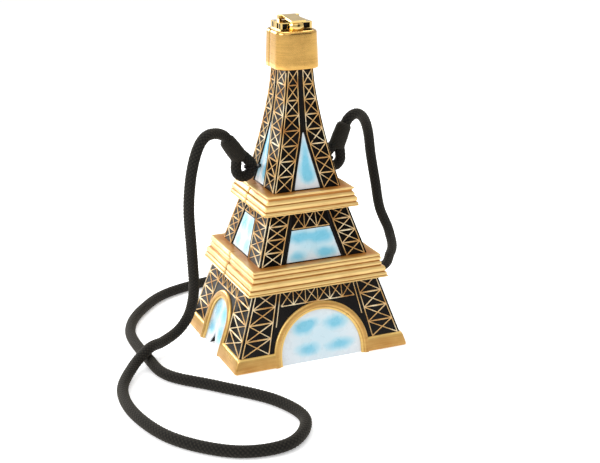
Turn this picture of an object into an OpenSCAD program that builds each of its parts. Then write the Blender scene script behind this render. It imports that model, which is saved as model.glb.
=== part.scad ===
// Hard-shell evening bag in the shape of a lattice tower: two hinged half shells,
// applied gilt mouldings, inlaid window panes, a lever clasp on the cap and a cord strap.
// Millimetres. +X runs along the front face, the front looks along -Y, +Z is up.
// The origin is the middle of the foot, on the surface that the tower stands on.

/* [Lower stage] */
// Width of the shell at the floor
foot_w = 134; // [110:1:170]
// Depth of the shell at the floor
foot_d = 107; // [90:1:140]
// Width of the shell under the lower moulding
knee_w = 97; // [85:1:110]
// Depth of the shell under the lower moulding
knee_d = 86; // [75:1:100]
// Height from the floor to the lower moulding
leg_h = 55; // [50:1:70]

/* [Middle stage] */
// Width of the shell on top of the lower moulding
mid_w = 84; // [72:1:94]
// Depth of the shell on top of the lower moulding
mid_d = 77; // [68:1:88]
// Width of the shell under the upper moulding
mid_top_w = 61; // [54:1:70]
// Depth of the shell under the upper moulding
mid_top_d = 59; // [54:1:70]
// Height between the two mouldings
mid_h = 36; // [28:1:46]

/* [Upper stage] */
// Width of the shell on top of the upper moulding
upper_w = 52; // [44:1:58]
// Depth of the shell on top of the upper moulding
upper_d = 54; // [46:1:60]
// Width of the shell under the cap
top_w = 20; // [17:1:26]
// Depth of the shell under the cap
top_d = 30; // [24:1:34]
// Height from the upper moulding to the cap
upper_h = 85; // [70:1:105]
// How strongly the upper stage curves in, 1 is straight
upper_curve = 1.4; // [1:0.1:2]

/* [Mouldings] */
// Height of the lower moulding
lower_band_h = 17; // [13:1:22]
// How far the lower moulding stands out along its foot
lower_band_out = 7; // [3:0.5:9]
// Number of reeds on the lower moulding
lower_reeds = 4; // [2:1:6]
// Height of the upper moulding
upper_band_h = 14; // [10:1:18]
// How far the upper moulding stands out along its foot
upper_band_out = 7; // [3:0.5:9]
// Number of reeds on the upper moulding
upper_reeds = 3; // [2:1:5]
// How far a reed bulges past its grooves
reed_bulge = 0.9; // [0.3:0.1:1.5]
// Height of the foot trim
skirt_h = 10.5; // [7:0.5:14]
// How far the foot trim and the arch frames stand out
trim_t = 1.5; // [1:0.1:3]
// Width of the frame round each arch
arch_frame = 6; // [4:0.5:8]

/* [Windows] */
// Radius of the arch in the front and back
arch_r = 31.5; // [25:0.5:33]
// Height at which the front arch starts to curve
arch_spring = 5.5; // [3:0.5:8]
// Radius of the arch in each side
side_arch_r = 15.5; // [12:0.5:17]
// Height at which the side arch starts to curve
side_arch_spring = 20; // [16:0.5:22]
// Width of the middle window along its sill
mid_win_w = 43; // [30:1:50]
// Width of the middle window along its head
mid_win_top_w = 30; // [20:1:34]
// Height of the middle window
mid_win_h = 22; // [16:1:24]
// Width of the side middle window along its sill
mid_side_w = 32; // [24:1:38]
// Width of the side middle window along its head
mid_side_top_w = 20; // [14:1:26]
// Height of the side middle window
mid_side_h = 26; // [18:1:27]
// Width of the tall upper window along its sill
tall_win_w = 20; // [14:1:24]
// Height of the tall upper window
tall_win_h = 40; // [30:1:48]
// Width of the side upper window along its sill
tall_side_w = 18; // [14:1:22]
// Height of the side upper window
tall_side_h = 45; // [30:1:50]
// Width of a tall window at its tip
tall_tip_w = 1; // [0.6:0.1:2]
// Thickness of a window pane
pane_t = 1.2; // [0.8:0.1:1.6]
// How far an arched pane lies below the shell's face
arch_recess = 0.8; // [0.4:0.1:1.2]
// How far the other panes lie below the shell's face
pane_recess = 0.3; // [0.1:0.1:0.8]

/* [Cap] */
// Width of the cap
cap_w = 33; // [27:1:38]
// Depth of the cap
cap_d = 35; // [31:1:42]
// Height of the cap
cap_h = 27; // [22:1:34]
// Corner radius of the cap
cap_corner = 9; // [5:0.5:11]
// Wall of the cap
cap_wall = 3; // [2:0.5:4]

/* [Shell] */
// Wall of the shell, measured level
wall = 3; // [2.8:0.1:4]
// Floor and top plate of the shell
floor_t = 4; // [3:0.5:6]
// Thickness of the lining
lining_t = 1; // [0.8:0.1:2]

/* [Seam and bottom hinges] */
// Where the seam between the halves lies, behind the middle
seam_y = 3; // [0:0.5:5]
// Gap between the closed halves
seam_gap = 0.3; // [0.2:0.1:0.6]
// Height of the hinge pins
hinge_z = 10; // [8:0.5:12]
// How far the front half opens
open_angle = 65; // [40:1:75]
// Distance of each hinge from the middle
hinge_x = 30; // [24:1:34]
// Length of one hinge knuckle
knuckle_l = 8.4; // [6:0.2:9]
// Outside radius of the knuckles
knuckle_r = 2.4; // [2:0.1:2.8]
// Radius of the hinge pins
hinge_pin_r = 0.95; // [0.7:0.05:1.2]
// Thickness of a hinge leaf
leaf_t = 0.9; // [0.7:0.1:1.2]
// Height of a hinge leaf above its pin
leaf_h = 10; // [8:0.5:12]
// Radius of the screw shanks
screw_r = 1; // [0.8:0.1:1.1]
// Radius of the screw heads
screw_head_r = 1.9; // [1.5:0.1:2.1]
// Length of a hinge screw
hinge_screw_l = 6.5; // [5:0.5:7]

/* [Clasp] */
// Width of the clasp bars
clasp_w = 24; // [20:1:26]
// Height of the clasp bars
clasp_h = 5.4; // [4.5:0.1:7]
// Depth of the front clasp bar
front_bar_d = 11.5; // [9:0.5:13]
// Depth of the back clasp bar
back_bar_d = 6; // [5:0.5:8]
// Width of the clasp lever
lever_w = 11; // [8:0.5:12]
// Length of the clasp lever, from its pin
lever_l = 19.5; // [15:0.5:21]
// Thickness of the clasp lever
lever_t = 1.5; // [1:0.1:2]
// Slope of the closed lever
lever_tilt = 5.5; // [2:0.5:5.5]
// Radius of the lever's barrel
barrel_r = 1.7; // [1.5:0.1:2.2]
// Radius of the lever's pin
lever_pin_r = 0.8; // [0.5:0.1:1]
// Radius of the rounded nose on the front bar
nose_r = 6.2; // [5:0.1:7]

/* [Strap] */
// Height of the strap eyes
eye_z = 134; // [130:1:140]
// Distance of the strap eyes behind the seam
eye_back = 4.5; // [4:0.5:6]
// Diameter of the strap eyes' wire
eye_wire_d = 1.8; // [1.6:0.1:2.4]
// Diameter of the cord
cord_d = 8.2; // [6:0.1:9]
// Radius of the loop at each end of the cord, on its centre line
cord_loop_r = 6.8; // [6.4:0.1:9]

/* [Hidden] */
$fn = 64;

FRONT = -1;
BACK = 1;
LEFT = -1;
RIGHT = 1;

// Clearances
glue_gap = 0.05;     // between a glued piece and the shell
pane_gap = 0.1;      // round a pane in its pocket
lining_gap = 0.3;    // between the lining and the shell
pin_gap = 0.05;      // round a hinge pin, in radius
knuckle_gap = 0.2;   // between neighbouring knuckles
screw_gap = 0.05;    // round a screw, in radius
lever_gap = 0.3;     // between the lever and the fixed parts of the clasp
stop_gap = 1;        // degrees left between the halves when fully open
cut = 1;             // how far a cutting solid runs past the face it cuts
reach = 150;         // longer than half of any side

// Levels
mid_z = leg_h + lower_band_h;
mid_top_z = mid_z + mid_h;
upper_z = mid_top_z + upper_band_h;
body_h = upper_z + upper_h;
cap_top = body_h + cap_h;
clasp_top = cap_top + clasp_h;

// Half width and half depth of the shell against height
CURVE_STEPS = 8;
function taper(low, high) = [for (i = [0:CURVE_STEPS])
    [upper_z + upper_h * i / CURVE_STEPS,
     (high + (low - high) * pow(1 - i / CURVE_STEPS, upper_curve)) / 2]];
W_TABLE = concat([[0, foot_w / 2], [leg_h, knee_w / 2], [mid_z, mid_w / 2],
                  [mid_top_z, mid_top_w / 2]], taper(upper_w, top_w));
D_TABLE = concat([[0, foot_d / 2], [leg_h, knee_d / 2], [mid_z, mid_d / 2],
                  [mid_top_z, mid_top_d / 2]], taper(upper_d, top_d));
function half_w(z) = lookup(z, W_TABLE);
function half_d(z) = lookup(z, D_TABLE);

// Outline of the shell grown by a distance, between two levels, as seen from one side
function levels(table, low, high) = concat(
    [low], [for (row = table) if (row[0] > low && row[0] < high) row[0]], [high]);
function side_points(table, grow, low, high) =
    [for (z = levels(table, low, high)) [lookup(z, table) + grow, z]];
function both_sides(points) = concat(
    points, [for (i = [len(points) - 1:-1:0]) [-points[i][0], points[i][1]]]);

// A solid with one outline seen from the front and another seen from the side
module two_view_solid(front_points, side_points) {
    intersection() {
        along_y() polygon(both_sides(front_points));
        along_x() polygon(both_sides(side_points));
    }
}

// Extrudes an outline drawn in X and Z along the whole depth
module along_y() {
    rotate([90, 0, 0])
        translate([0, 0, -reach])
            linear_extrude(2 * reach) children();
}

// Extrudes an outline drawn in Y and Z along the whole width
module along_x() {
    rotate([90, 0, 90])
        translate([0, 0, -reach])
            linear_extrude(2 * reach) children();
}

// The tower's outside form, grown or shrunk level by a distance
module tower(grow = 0, low = 0, high = body_h) {
    two_view_solid(side_points(W_TABLE, grow, low, high),
                   side_points(D_TABLE, grow, low, high));
}

// Space taken by one half: cut off at the seam, with a wedge below the hinge pin
wedge_half = (open_angle + stop_gap) / 2;
module half_space(side, gap = seam_gap / 2) {
    drop = hinge_z + cut;
    along_x()
        polygon([[seam_y + side * gap, 2 * reach],
                 [seam_y + side * gap, hinge_z],
                 [seam_y + side * (gap + drop * tan(wedge_half)), -cut],
                 [side * reach, -cut],
                 [side * reach, 2 * reach]]);
}

// ---- Window outlines -------------------------------------------------------

module arch_outline(radius, spring, grow = 0) {
    translate([-radius - grow, -cut]) square([2 * (radius + grow), spring + cut]);
    translate([0, spring]) circle(radius + grow);
}

module trapezium(sill_w, head_w, height, low, grow = 0) {
    polygon([[-sill_w / 2 - grow, low - grow], [sill_w / 2 + grow, low - grow],
             [head_w / 2 + grow, low + height + grow], [-head_w / 2 - grow, low + height + grow]]);
}

// level 0 is the arch, 1 the middle window and 2 the tall one
module front_outline(level, grow = 0) {
    if (level == 0) arch_outline(arch_r, arch_spring, grow);
    if (level == 1) trapezium(mid_win_w, mid_win_top_w, mid_win_h, mid_z + sill_gap, grow);
    if (level == 2) trapezium(tall_win_w, tall_tip_w, tall_win_h, upper_z + sill_gap, grow);
}

module side_outline(level, grow = 0) {
    translate([seam_y, 0]) {
        if (level == 0) arch_outline(side_arch_r, side_arch_spring, grow);
        if (level == 1) trapezium(mid_side_w, mid_side_top_w, mid_side_h, mid_z + sill_gap, grow);
        if (level == 2) trapezium(tall_side_w, tall_tip_w, tall_side_h, upper_z + sill_gap, grow);
    }
}

sill_gap = 0.6;      // strip of shell between a moulding and the sill above it
function recess(level) = level == 0 ? arch_recess : pane_recess;

// Pockets for the panes of one level, on all four faces
module pane_pockets(level) {
    difference() {
        union() {
            along_y() front_outline(level);
            along_x() side_outline(level);
        }
        tower(-recess(level) - pane_t, -2 * cut, body_h);
    }
}

// Layer in which the panes of one level lie
module pane_layer(level) {
    difference() {
        tower(-recess(level), level == 0 ? pane_gap : 0, body_h);
        tower(-recess(level) - pane_t + glue_gap, -cut, body_h + cut);
    }
}

side_clear = 8;      // keeps the outline's cut for a front or back pane off the other face
module front_pane(level, side) {
    color(PANE)
        intersection() {
            pane_layer(level);
            along_y() front_outline(level, -pane_gap);
            half_space(side, side_clear);
        }
}

module side_pane(level, side, hand) {
    color(PANE)
        difference() {
            intersection() {
                pane_layer(level);
                along_x() side_outline(level, -pane_gap);
                half_space(side);
                translate([hand > 0 ? 0 : -reach, -reach, 0]) cube([reach, 2 * reach, reach * 2]);
            }
            if (side == BACK && level == 2) eye_shank(hand, screw_gap);
        }
}

// ---- Colours ---------------------------------------------------------------

BLACK = [0.05, 0.05, 0.05];
GOLD = [0.93, 0.80, 0.48];
SATIN_GOLD = [0.85, 0.66, 0.33];
POLISHED = [0.95, 0.83, 0.50];
PANE = [0.80, 0.92, 0.96];
LINING = [0.16, 0.13, 0.12];
BRASS = [0.78, 0.62, 0.32];
CORD = [0.11, 0.10, 0.09];

// ---- Shell halves ----------------------------------------------------------

// Solid edge along the bottom seam, thick enough to back the wedge
rail_over = 4;       // its height above the hinge pins
rail_back = 1;       // least thickness behind the wedge
rail_h = hinge_z + rail_over;
rail_d = rail_h * tan(wedge_half) + rail_back;
// Solid blocks that hold the hinge screws
hinge_l = 3 * knuckle_l + 2 * knuckle_gap;
block_rim = 2;       // material round the hinge and its screws
block_h = hinge_z + leaf_h + block_rim;
block_d = hinge_screw_l + block_rim;
block_w = hinge_l + 2 * block_rim;

// Hollow of the tower, grown or shrunk by a distance, without the solid edges at the seam
module hollow(shrink = 0) {
    difference() {
        tower(-wall - shrink, floor_t + shrink, body_h - floor_t - shrink);
        seam_edges(shrink);
    }
}

module seam_edges(grow = 0) {
    translate([-reach, seam_y - rail_d - grow, -cut])
        cube([2 * reach, 2 * (rail_d + grow), rail_h + grow + cut]);
    for (hand = [LEFT, RIGHT])
        translate([hand * hinge_x - block_w / 2 - grow, seam_y - block_d - grow, -cut])
            cube([block_w + 2 * grow, 2 * (block_d + grow), block_h + grow + cut]);
}

// Boss inside the back shell that takes the strap eye
boss_r = 4;          // its radius
boss_l = 6;          // its length inside the wall
module eye_boss(hand, grow = 0) {
    translate([hand * (half_w(eye_z) - wall / 2), seam_y + eye_back, eye_z])
        rotate([0, -90 * hand, 0])
            cylinder(h = boss_l + wall / 2 + grow, r = boss_r + grow);
}

module shell(side) {
    difference() {
        intersection() {
            tower();
            half_space(side);
        }
        difference() {
            hollow();
            if (side == BACK)
                for (hand = [LEFT, RIGHT]) eye_boss(hand);
        }
        for (level = [0:2]) pane_pockets(level);
        for (hand = [LEFT, RIGHT]) {
            hinge_pocket(side, hand);
            hinge_screw_pair(side, hand, screw_gap);
            if (side == BACK) eye_shank(hand, screw_gap);
        }
        cap_spigot(side, pane_gap);
    }
}

// ---- Foot trim and mouldings -----------------------------------------------

module base_trim(side) {
    color(SATIN_GOLD)
        difference() {
            intersection() {
                tower(trim_t, 0, leg_h);
                half_space(side);
                union() {
                    along_y() translate([-reach, -cut]) square([2 * reach, skirt_h + cut]);
                    along_y() arch_outline(arch_r, arch_spring, arch_frame);
                    along_x() translate([seam_y, 0])
                        arch_outline(side_arch_r, side_arch_spring, arch_frame);
                }
            }
            tower(glue_gap, -cut, leg_h + cut);
            along_y() front_outline(0);
            along_x() side_outline(0);
        }
}

// Outline of a reeded band: it leans in towards its top, and each reed is an arc
ARC_STEPS = 6;
function band_points(table, low, high, out, reeds) = concat(
    [[lookup(low, table) - cut, low]],
    [for (i = [0:reeds - 1], k = [0:ARC_STEPS])
        let (z = low + (high - low) * (i + k / ARC_STEPS) / reeds)
        [lookup(z, table) + out + reed_bulge * (sin(180 * k / ARC_STEPS) - 1), z]],
    [[lookup(high, table) - cut, high]]);

module moulding(side, low, high, out, reeds) {
    color(GOLD)
        difference() {
            intersection() {
                two_view_solid(band_points(W_TABLE, low, high, out, reeds),
                               band_points(D_TABLE, low, high, out, reeds));
                half_space(side);
            }
            tower(glue_gap, low - cut, high + cut);
        }
}

// ---- Cap -------------------------------------------------------------------

edge_round = 2;      // rounding of the cap's upper edge
foot_round = 0.8;    // rounding of the cap's lower edge
cap_lean = 1;        // how much narrower the cap is at its top, each side
spigot_h = 1.5;      // tongue under the cap that sits in the shell's top plate
spigot_in = 3;       // its distance inside the edge of the top plate
rib_t = 2;           // web in the middle of each hollow cap half

module cap_post(radius) {
    rotate_extrude($fn = 32)
        polygon([[0, 0], [radius - foot_round, 0], [radius, foot_round],
                 [radius - cap_lean, cap_h - edge_round],
                 [radius - cap_lean - edge_round * 0.3, cap_h - edge_round * 0.3],
                 [radius - cap_lean - edge_round, cap_h], [0, cap_h]]);
}

module cap_form() {
    hull()
        for (x = [LEFT, RIGHT], y = [FRONT, BACK])
            translate([x * (cap_w / 2 - cap_corner), y * (cap_d / 2 - cap_corner), body_h + glue_gap])
                cap_post(cap_corner);
}

module cap_spigot(side, grow = 0) {
    intersection() {
        translate([-top_w / 2 + spigot_in - grow, -top_d / 2 + spigot_in - grow,
                   body_h - spigot_h - grow])
            cube([top_w - 2 * (spigot_in - grow), top_d - 2 * (spigot_in - grow),
                  spigot_h + grow + cut]);
        half_space(side, grow > 0 ? seam_gap / 2 - cut : seam_gap / 2);
    }
}

module cap(side) {
    color(SATIN_GOLD)
        difference() {
            union() {
                intersection() {
                    cap_form();
                    half_space(side);
                }
                cap_spigot(side);
            }
            for (hand = [LEFT, RIGHT])
                intersection() {
                    translate([hand > 0 ? rib_t / 2 : -(cap_w / 2 - cap_wall),
                               -(cap_d / 2 - cap_wall), body_h + cap_wall])
                        cube([cap_w / 2 - cap_wall - rib_t / 2, cap_d - 2 * cap_wall,
                              cap_h - 2 * cap_wall]);
                    half_space(side, -cut);
                }
            clasp_screw_pair(side, screw_gap);
        }
}

// ---- Lining ----------------------------------------------------------------

module lining(side) {
    color(LINING)
        difference() {
            intersection() {
                hollow(lining_gap);
                half_space(side, seam_gap);
            }
            hollow(lining_gap + lining_t);
            if (side == BACK)
                for (hand = [LEFT, RIGHT]) eye_boss(hand, lining_gap);
        }
}

// ---- Bottom hinges ---------------------------------------------------------

// The back leaf carries the two outer knuckles, the front leaf the middle one
function knuckles(side) = side == BACK ? [-1, 1] : [0];
leaf_low = hinge_z + knuckle_r + 2 * knuckle_gap;
leaf_set = seam_gap / 2 + glue_gap;           // a closed leaf's face, from the seam

module hinge_pocket(side, hand) {
    translate([hand * hinge_x, seam_y, 0]) {
        translate([-hinge_l / 2 - knuckle_gap, 0, hinge_z])
            rotate([0, 90, 0]) cylinder(h = hinge_l + 2 * knuckle_gap, r = knuckle_r + knuckle_gap);
        translate([-hinge_l / 2 - pane_gap, side > 0 ? -cut : -leaf_set - leaf_t - glue_gap, hinge_z])
            cube([hinge_l + 2 * pane_gap, leaf_set + leaf_t + glue_gap + cut, leaf_h + pane_gap]);
    }
}

module hinge_leaf(side, hand) {
    color(BRASS)
        difference() {
            translate([hand * hinge_x, seam_y, 0]) {
                translate([-hinge_l / 2, side > 0 ? leaf_set : -leaf_set - leaf_t, leaf_low])
                    cube([hinge_l, leaf_t, hinge_z + leaf_h - leaf_low]);
                for (k = knuckles(side))
                    translate([k * (knuckle_l + knuckle_gap) - knuckle_l / 2, 0, hinge_z]) {
                        rotate([0, 90, 0]) cylinder(h = knuckle_l, r = knuckle_r);
                        translate([0, side > 0 ? leaf_set : -leaf_set - leaf_t, 0])
                            cube([knuckle_l, leaf_t, leaf_low - hinge_z + cut]);
                    }
            }
            hinge_pin_form(hand, pin_gap);
            hinge_screw_pair(side, hand, screw_gap);
        }
}

module hinge_pin_form(hand, grow = 0) {
    translate([hand * hinge_x - hinge_l / 2 - grow, seam_y, hinge_z])
        rotate([0, 90, 0]) cylinder(h = hinge_l + 2 * grow, r = hinge_pin_r + grow);
}

// Two countersunk screws through one leaf, heads flush with its face
screw_inset = 5;     // distance of a screw from the leaf's end
screw_span = hinge_l - 2 * screw_inset;
module hinge_screw_pair(side, hand, grow = 0) {
    for (x = [-0.5, 0.5] * screw_span)
        translate([hand * hinge_x + x, seam_y + side * leaf_set, (leaf_low + hinge_z + leaf_h) / 2])
            rotate([-90 * side, 0, 0]) {
                translate([0, 0, grow > 0 ? -glue_gap : 0])
                    cylinder(h = leaf_t + (grow > 0 ? glue_gap : 0),
                             r1 = screw_head_r + grow, r2 = screw_r + grow);
                cylinder(h = hinge_screw_l + grow, r = screw_r + grow);
            }
}

module hinge_screws(side) {
    color(BRASS)
        for (hand = [LEFT, RIGHT]) hinge_screw_pair(side, hand);
}

// ---- Clasp -----------------------------------------------------------------

screw_apart = 15;    // clasp screws, left to right
front_screw_in = 3.4; // front screws, distance from the bar's back face
clasp_screw_l = 3.6; // reach of the clasp screws into a bar
head_h = 1.2;        // height of their heads
end_post = 1.6;      // wall left at the ends of the front bar's recess
bar_rim = 0.8;       // wall left above, below and behind that recess
recess_d = 3;        // depth of that recess
slot_w = 2.8;        // width of the slot in each end of the front bar
slot_l = 3;          // its depth
nose_drop = 0.4;     // middle of the nose, below the middle of the bar
nose_in = 0.2;       // how far the nose runs into the bar
nose_under = 0.5;    // how far the nose stays below the bar's top

function bar_middle(side) =
    seam_y + side * (seam_gap / 2 + (side == BACK ? back_bar_d / 2 : front_screw_in));

module clasp_screw_pair(side, grow = 0) {
    for (x = [-0.5, 0.5] * screw_apart)
        translate([x, bar_middle(side), cap_top - cap_wall]) {
            translate([0, 0, -head_h - grow]) cylinder(h = head_h + (grow > 0 ? grow : 0),
                                                       r = screw_head_r + grow);
            cylinder(h = cap_wall + clasp_screw_l + grow, r = screw_r + grow);
        }
}

module clasp_screws(side) {
    color(BRASS) clasp_screw_pair(side);
}

bar_low = cap_top + 2 * glue_gap;
module front_clasp_bar() {
    front_y = seam_y - seam_gap / 2 - front_bar_d;
    color(POLISHED)
        difference() {
            union() {
                difference() {
                    translate([-clasp_w / 2, front_y, bar_low])
                        cube([clasp_w, front_bar_d, clasp_top - bar_low]);
                    translate([-clasp_w / 2 + end_post, front_y - cut, bar_low + bar_rim])
                        cube([clasp_w - 2 * end_post, recess_d + cut, clasp_h - 2 * bar_rim]);
                    for (hand = [LEFT, RIGHT])
                        translate([hand * (clasp_w / 2 - slot_l / 2) - slot_l / 2 - (hand < 0 ? cut : 0),
                                   front_y + recess_d + bar_rim, bar_low + bar_rim])
                            cube([slot_l + cut, slot_w, clasp_h - 2 * bar_rim]);
                }
                intersection() {
                    translate([0, front_y + recess_d / 2, bar_low + clasp_h / 2 - nose_drop])
                        sphere(nose_r);
                    translate([-lever_w / 2, front_y - nose_r, bar_low])
                        cube([lever_w, nose_r + recess_d + nose_in, clasp_h - nose_under]);
                }
            }
            clasp_screw_pair(FRONT, screw_gap);
        }
}

pivot_y = seam_y + seam_gap / 2 + back_bar_d / 2;
pivot_z = clasp_top + lever_gap + barrel_r;
ear_w = 2;           // width of the ears that hold the lever's pin
module back_clasp_bar() {
    color(POLISHED)
        difference() {
            union() {
                translate([-clasp_w / 2, seam_y + seam_gap / 2, bar_low])
                    cube([clasp_w, back_bar_d, clasp_top - bar_low]);
                for (hand = [LEFT, RIGHT])
                    translate([hand * (lever_w / 2 + knuckle_gap + ear_w / 2) - ear_w / 2,
                               pivot_y - barrel_r, clasp_top - cut]) {
                        cube([ear_w, 2 * barrel_r, pivot_z - clasp_top + cut]);
                        translate([0, barrel_r, pivot_z - clasp_top + cut])
                            rotate([0, 90, 0]) cylinder(h = ear_w, r = barrel_r);
                    }
            }
            clasp_screw_pair(BACK, screw_gap);
            clasp_pin_form(pin_gap);
        }
}

module clasp_pin_form(grow = 0) {
    half = lever_w / 2 + knuckle_gap + ear_w;
    translate([-half - grow, pivot_y, pivot_z])
        rotate([0, 90, 0]) cylinder(h = 2 * (half + grow), r = lever_pin_r + grow);
}

module clasp_lever() {
    color(POLISHED)
        difference() {
            translate([-lever_w / 2, pivot_y, pivot_z])
                rotate([lever_tilt, 0, 0]) {
                    rotate([0, 90, 0]) cylinder(h = lever_w, r = barrel_r);
                    translate([0, -lever_l, barrel_r - lever_t]) cube([lever_w, lever_l, lever_t]);
                }
            clasp_pin_form(pin_gap);
        }
}

// ---- Strap -----------------------------------------------------------------

cord_r = cord_d / 2;
cord_gap = 0.2;      // between the cord and the wire of its eye
face_gap = 0.4;      // between the eye's wire and the shell
ring_r = cord_r + cord_gap + eye_wire_d / 2;   // middle of the wire, round the cord
ring_x = half_w(eye_z) + ring_r + eye_wire_d / 2 + face_gap;
eye_y = seam_y + eye_back;
shank_r = 1.2;       // radius of the eye's shank
boss_floor = 1.5;    // solid end of the boss behind the shank

module eye_shank(hand, grow = 0) {
    start = half_w(eye_z) - wall - boss_l + boss_floor;
    translate([hand * start, eye_y, eye_z])
        rotate([0, 90 * hand, 0])
            translate([0, 0, -grow]) cylinder(h = ring_x - ring_r - start + grow, r = shank_r + grow);
}

module strap_eye(hand) {
    color(BLACK) {
        eye_shank(hand);
        translate([hand * ring_x, eye_y, eye_z])
            rotate_extrude() translate([ring_r, 0]) circle(d = eye_wire_d);
    }
}

// Loop at the cord's end, through the strap eye
loop_x = ring_x + cord_loop_r;
module cord_loop(hand) {
    color(CORD)
        translate([hand * loop_x, eye_y, eye_z])
            rotate([90, 0, 0]) rotate_extrude() translate([cord_loop_r, 0]) circle(cord_r);
}

// Bound sleeve where the loop's end is stitched back to the cord
left_lean = 35;      // degrees from upright, away from the tower
right_lean = 22;
whip_l = 18;         // length of the sleeve
whip_w = 12.5;       // its width over both runs of the cord
whip_t = 9.6;        // its thickness
whip_out = 1.5;      // middle of its lower end, outside and above the loop's middle
whip_up = 7;
module cord_whipping(hand) {
    spread = (whip_w - whip_t) / 2;
    color(CORD)
        translate([hand * (loop_x + whip_out), eye_y, eye_z + whip_up])
            rotate([0, hand > 0 ? right_lean : -left_lean, 0])
                linear_extrude(whip_l) {
                    square([2 * spread, whip_t], center = true);
                    for (x = [-spread, spread]) translate([x, 0]) circle(d = whip_t);
                }
}

// Route of the cord's middle, from the left sleeve to the right one
CORD_ROUTE = [
    [-45, 7.5, 153], [-51.5, 5, 160], [-61, -2, 164], [-70.5, -9, 163.5], [-78, -14, 155.5],
    [-83.5, -16, 138], [-84.5, -11.5, 112.5], [-81, -3.5, 80], [-77.5, 5.5, 49], [-77.8, 12, 31],
    [-81, 16.5, 18.5], [-89.5, 13.5, 11.3], [-104, 2.5, 10], [-118, -10.5, 12.5],
    [-134.5, -25, 7], [-149.6, -53, 4.2], [-151.2, -92, 4.2], [-137.6, -134, 4.2],
    [-106.6, -165, 4.2], [-72.5, -168, 4.2], [-51.5, -142, 4.2], [-59.5, -108, 4.2],
    [-88.5, -72, 4.2], [-114, -42, 4.2], [-118.7, -9, 4.2], [-118, 42, 4.2], [-97.7, 82, 4.2],
    [-60, 113, 4.2], [10, 121, 4.6], [98, 73, 11.5], [109, 54, 32], [99.5, 38.5, 56.5],
    [88, 33, 79.5], [82, 29.5, 103], [78.5, 31, 125.5], [74, 27, 145], [67, 20.5, 157.5],
    [58, 14, 163.5], [49, 9.5, 161.5], [43.2, 7.5, 153]
];
RING_STEP = 17;      // about this far between the tube's rings
CORD_SIDES = 10;     // sides of the tube

// Catmull-Rom curve through the points
function spline(a, b, c, d, t) =
    0.5 * (2 * b + (c - a) * t + (2 * a - 5 * b + 4 * c - d) * t * t
           + (3 * b - a - 3 * c + d) * t * t * t);
function route_point(route, i) = route[max(0, min(len(route) - 1, i))];
function smooth_route(route) = concat(
    [for (i = [0:len(route) - 2])
        let (steps = max(1, round(norm(route[i + 1] - route[i]) / RING_STEP)))
        for (k = [0:steps - 1])
            spline(route_point(route, i - 1), route[i], route[i + 1],
                   route_point(route, i + 2), k / steps)],
    [route[len(route) - 1]]);

function unit(v) = v / norm(v);
function heading(path, i) = unit(path[min(i + 1, len(path) - 1)] - path[max(i - 1, 0)]);
function square_to(normal, direction) = unit(normal - (normal * direction) * direction);
// Normals carried along the path with no twist
function normals(path, i = 0, last = [0, 1, 0], found = []) =
    i == len(path) ? found
    : let (next = square_to(last, heading(path, i))) normals(path, i + 1, next, concat(found, [next]));

module tube(route, radius, sides) {
    path = smooth_route(route);
    across = normals(path);
    points = [for (i = [0:len(path) - 1], k = [0:sides - 1])
        let (up = cross(heading(path, i), across[i]))
        path[i] + radius * (cos(360 * k / sides) * across[i] + sin(360 * k / sides) * up)];
    skin = [for (i = [0:len(path) - 2], k = [0:sides - 1])
        [i * sides + k, (i + 1) * sides + k, (i + 1) * sides + (k + 1) % sides,
         i * sides + (k + 1) % sides]];
    ends = [[for (k = [0:sides - 1]) k],
            [for (k = [sides - 1:-1:0]) (len(path) - 1) * sides + k]];
    polyhedron(points, concat(skin, ends), convexity = 10);
}

module shoulder_cord() {
    color(CORD) tube(CORD_ROUTE, cord_r, CORD_SIDES);
}

// ---- Sub-parts -------------------------------------------------------------

module front_shell() {
    color(BLACK) shell(FRONT);
}

module back_shell() {
    color(BLACK) shell(BACK);
}

module lower_moulding(side) {
    moulding(side, leg_h, mid_z, lower_band_out, lower_reeds);
}

module upper_moulding(side) {
    moulding(side, mid_top_z, upper_z, upper_band_out, upper_reeds);
}

module hinge_pin(hand) {
    color(BRASS) hinge_pin_form(hand);
}

module clasp_pin() {
    color(BRASS) clasp_pin_form();
}

front_shell();
base_trim(FRONT);  // front_base_trim
lower_moulding(FRONT);  // front_lower_moulding
upper_moulding(FRONT);  // front_upper_moulding
cap(FRONT);  // front_cap
lining(FRONT);  // front_lining
front_pane(0, FRONT);  // front_arch_window
front_pane(1, FRONT);  // front_middle_window
front_pane(2, FRONT);  // front_upper_window
side_pane(0, FRONT, LEFT);  // front_left_arch_window
side_pane(1, FRONT, LEFT);  // front_left_middle_window
side_pane(2, FRONT, LEFT);  // front_left_upper_window
side_pane(0, FRONT, RIGHT);  // front_right_arch_window
side_pane(1, FRONT, RIGHT);  // front_right_middle_window
side_pane(2, FRONT, RIGHT);  // front_right_upper_window
back_shell();
base_trim(BACK);  // back_base_trim
lower_moulding(BACK);  // back_lower_moulding
upper_moulding(BACK);  // back_upper_moulding
cap(BACK);  // back_cap
lining(BACK);  // back_lining
front_pane(0, BACK);  // back_arch_window
front_pane(1, BACK);  // back_middle_window
front_pane(2, BACK);  // back_upper_window
side_pane(0, BACK, LEFT);  // back_left_arch_window
side_pane(1, BACK, LEFT);  // back_left_middle_window
side_pane(2, BACK, LEFT);  // back_left_upper_window
side_pane(0, BACK, RIGHT);  // back_right_arch_window
side_pane(1, BACK, RIGHT);  // back_right_middle_window
side_pane(2, BACK, RIGHT);  // back_right_upper_window
hinge_leaf(FRONT, LEFT);  // left_hinge_front_leaf
hinge_leaf(BACK, LEFT);  // left_hinge_back_leaf
hinge_pin(LEFT);  // left_hinge_pin
hinge_leaf(FRONT, RIGHT);  // right_hinge_front_leaf
hinge_leaf(BACK, RIGHT);  // right_hinge_back_leaf
hinge_pin(RIGHT);  // right_hinge_pin
hinge_screws(FRONT);  // front_hinge_screws
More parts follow.
